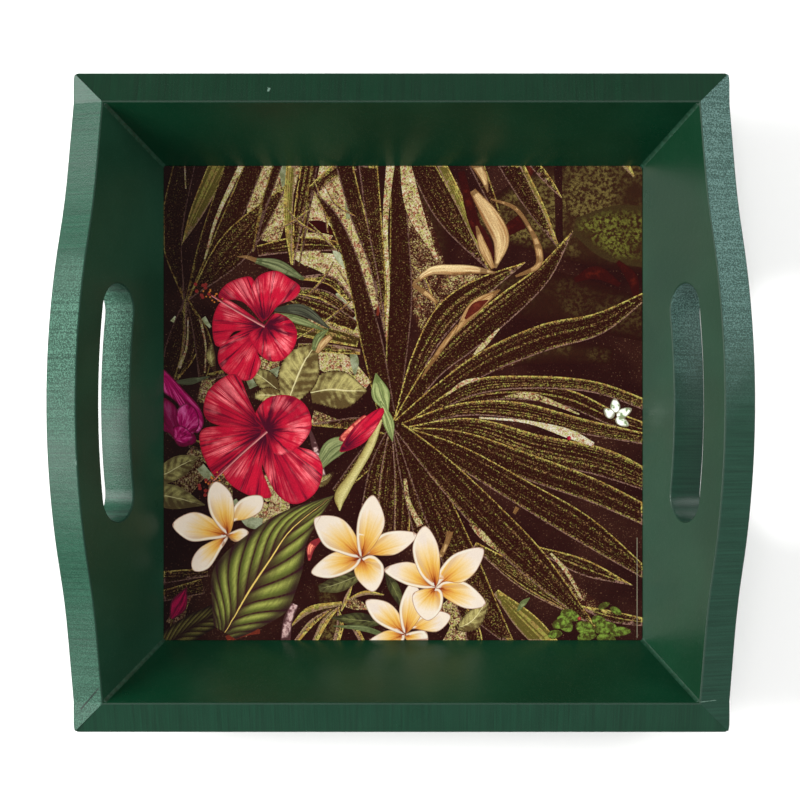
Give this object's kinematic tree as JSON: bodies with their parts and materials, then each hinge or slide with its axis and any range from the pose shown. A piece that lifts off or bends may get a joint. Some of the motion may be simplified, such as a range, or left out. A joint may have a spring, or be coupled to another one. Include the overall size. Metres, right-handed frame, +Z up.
{
  "type": "serving tray",
  "caption": "Square painted wooden serving tray with flared mitred walls, arched handle sides with hand slots, and a printed botanical bottom under clear film.",
  "frame": {"origin": "middle of the underside, on the surface that the tray stands on", "axes": "+X to the right handle wall, +Y to the back wall, +Z up through the open top"},
  "size_m": [0.3116, 0.2948, 0.0659],
  "materials": {
    "painted_board": "satin deep green paint",
    "panel_board": "satin deep green paint",
    "print": "printed botanical picture on paper",
    "film": "clear satin film",
    "filler": "painted acrylic filler",
    "steel_pins": "bright wire"
  },
  "bodies": {
    "root": {"front_wall": "painted_board", "back_wall": "painted_board", "left_handle_wall": "painted_board", "right_handle_wall": "painted_board", "base_panel": "panel_board", "printed_sheet": "print", "clear_film": "film", "base_pins": "steel_pins", "corner_bead_back_left": "filler", "corner_pins_back_left": "steel_pins", "corner_bead_back_right": "filler", "corner_pins_back_right": "steel_pins", "corner_bead_front_left": "filler", "corner_pins_front_left": "steel_pins", "corner_bead_front_right": "filler", "corner_pins_front_right": "steel_pins"}
  },
  "joints": []
}
